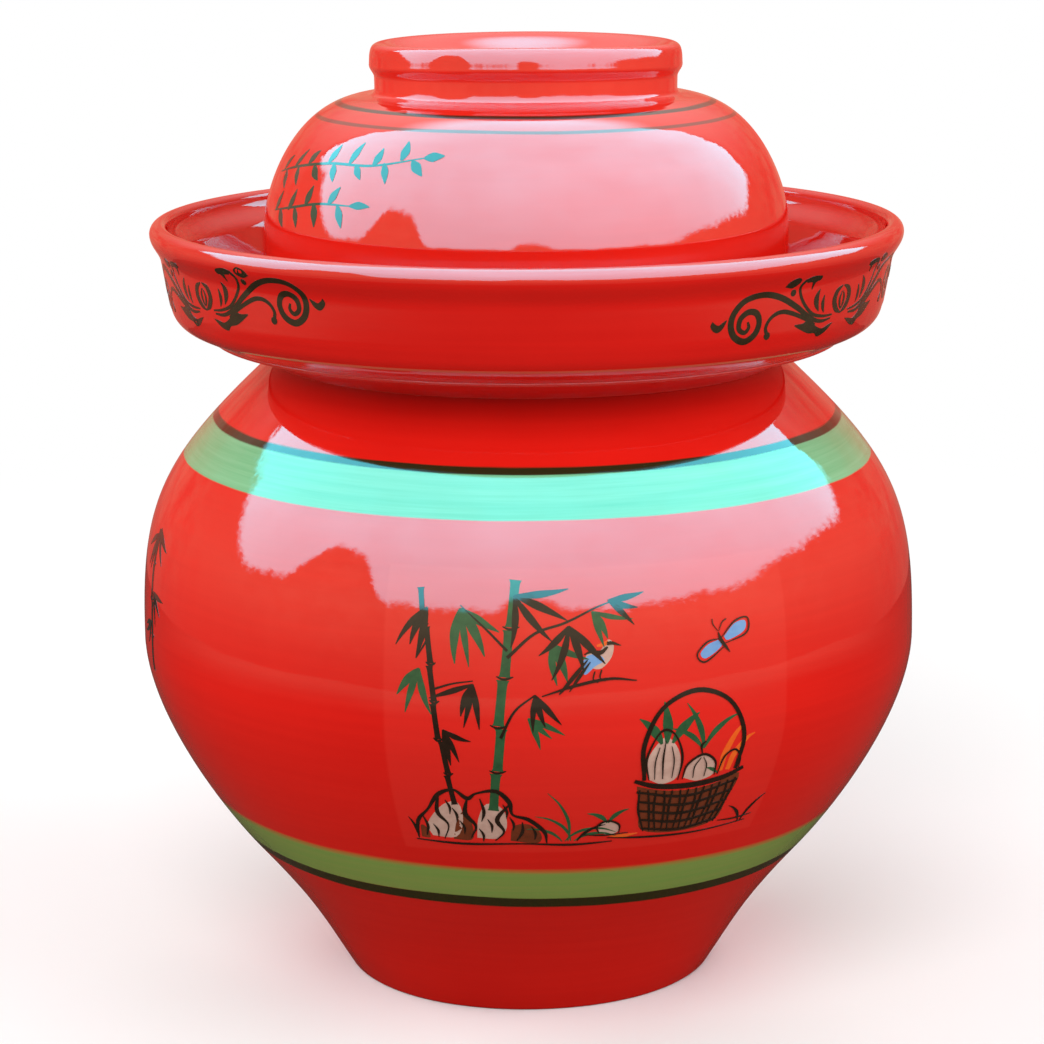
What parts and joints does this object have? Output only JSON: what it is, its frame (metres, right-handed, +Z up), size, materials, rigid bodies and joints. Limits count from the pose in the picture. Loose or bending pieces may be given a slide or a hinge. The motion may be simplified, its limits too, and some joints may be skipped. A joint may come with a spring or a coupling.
{
  "type": "water seal fermentation crock",
  "caption": "Glazed round crock with a water trough round its mouth, a bowl-shaped lid standing in the trough, an inner lid and split weights.",
  "frame": {"origin": "centre of the foot, on the surface that the crock stands on", "axes": "+Z up along the crock's axis of revolution; the painted front faces -Y; +X is to the viewer's right"},
  "size_m": [0.249, 0.249, 0.3],
  "materials": {
    "jar_glaze": "glossy red glaze with painted green and black bands, a black scroll ornament on the trough and a painted panel on the front",
    "lid_glaze": "glossy red glaze with two thin dark lines and small painted sprigs",
    "inner_lid_glaze": "glossy dark red glaze",
    "bare_clay": "bare fired clay, matt"
  },
  "bodies": {
    "jar": {"jar": "jar_glaze", "jar_shoulder": "jar_glaze", "water_trough": "jar_glaze"},
    "weight_left": {"weight_left": "bare_clay"},
    "weight_right": {"weight_right": "bare_clay"},
    "inner_lid": {"inner_lid": "inner_lid_glaze"},
    "lid": {"lid": "lid_glaze"}
  },
  "joints": [
    {"name": "weight_left_lift", "type": "slide", "parent": "jar", "child": "weight_left", "axis": [0, 0, 1], "range_m": [0, 0.26]},
    {"name": "weight_right_lift", "type": "slide", "parent": "weight_left", "child": "weight_right", "axis": [0, 0, 1], "range_m": [0, 0.26]},
    {"name": "inner_lid_lift", "type": "slide", "parent": "weight_right", "child": "inner_lid", "axis": [0, 0, 1], "range_m": [0, 0.06]},
    {"name": "lid_lift", "type": "slide", "parent": "inner_lid", "child": "lid", "axis": [0, 0, 1], "range_m": [0, 0.12]}
  ]
}
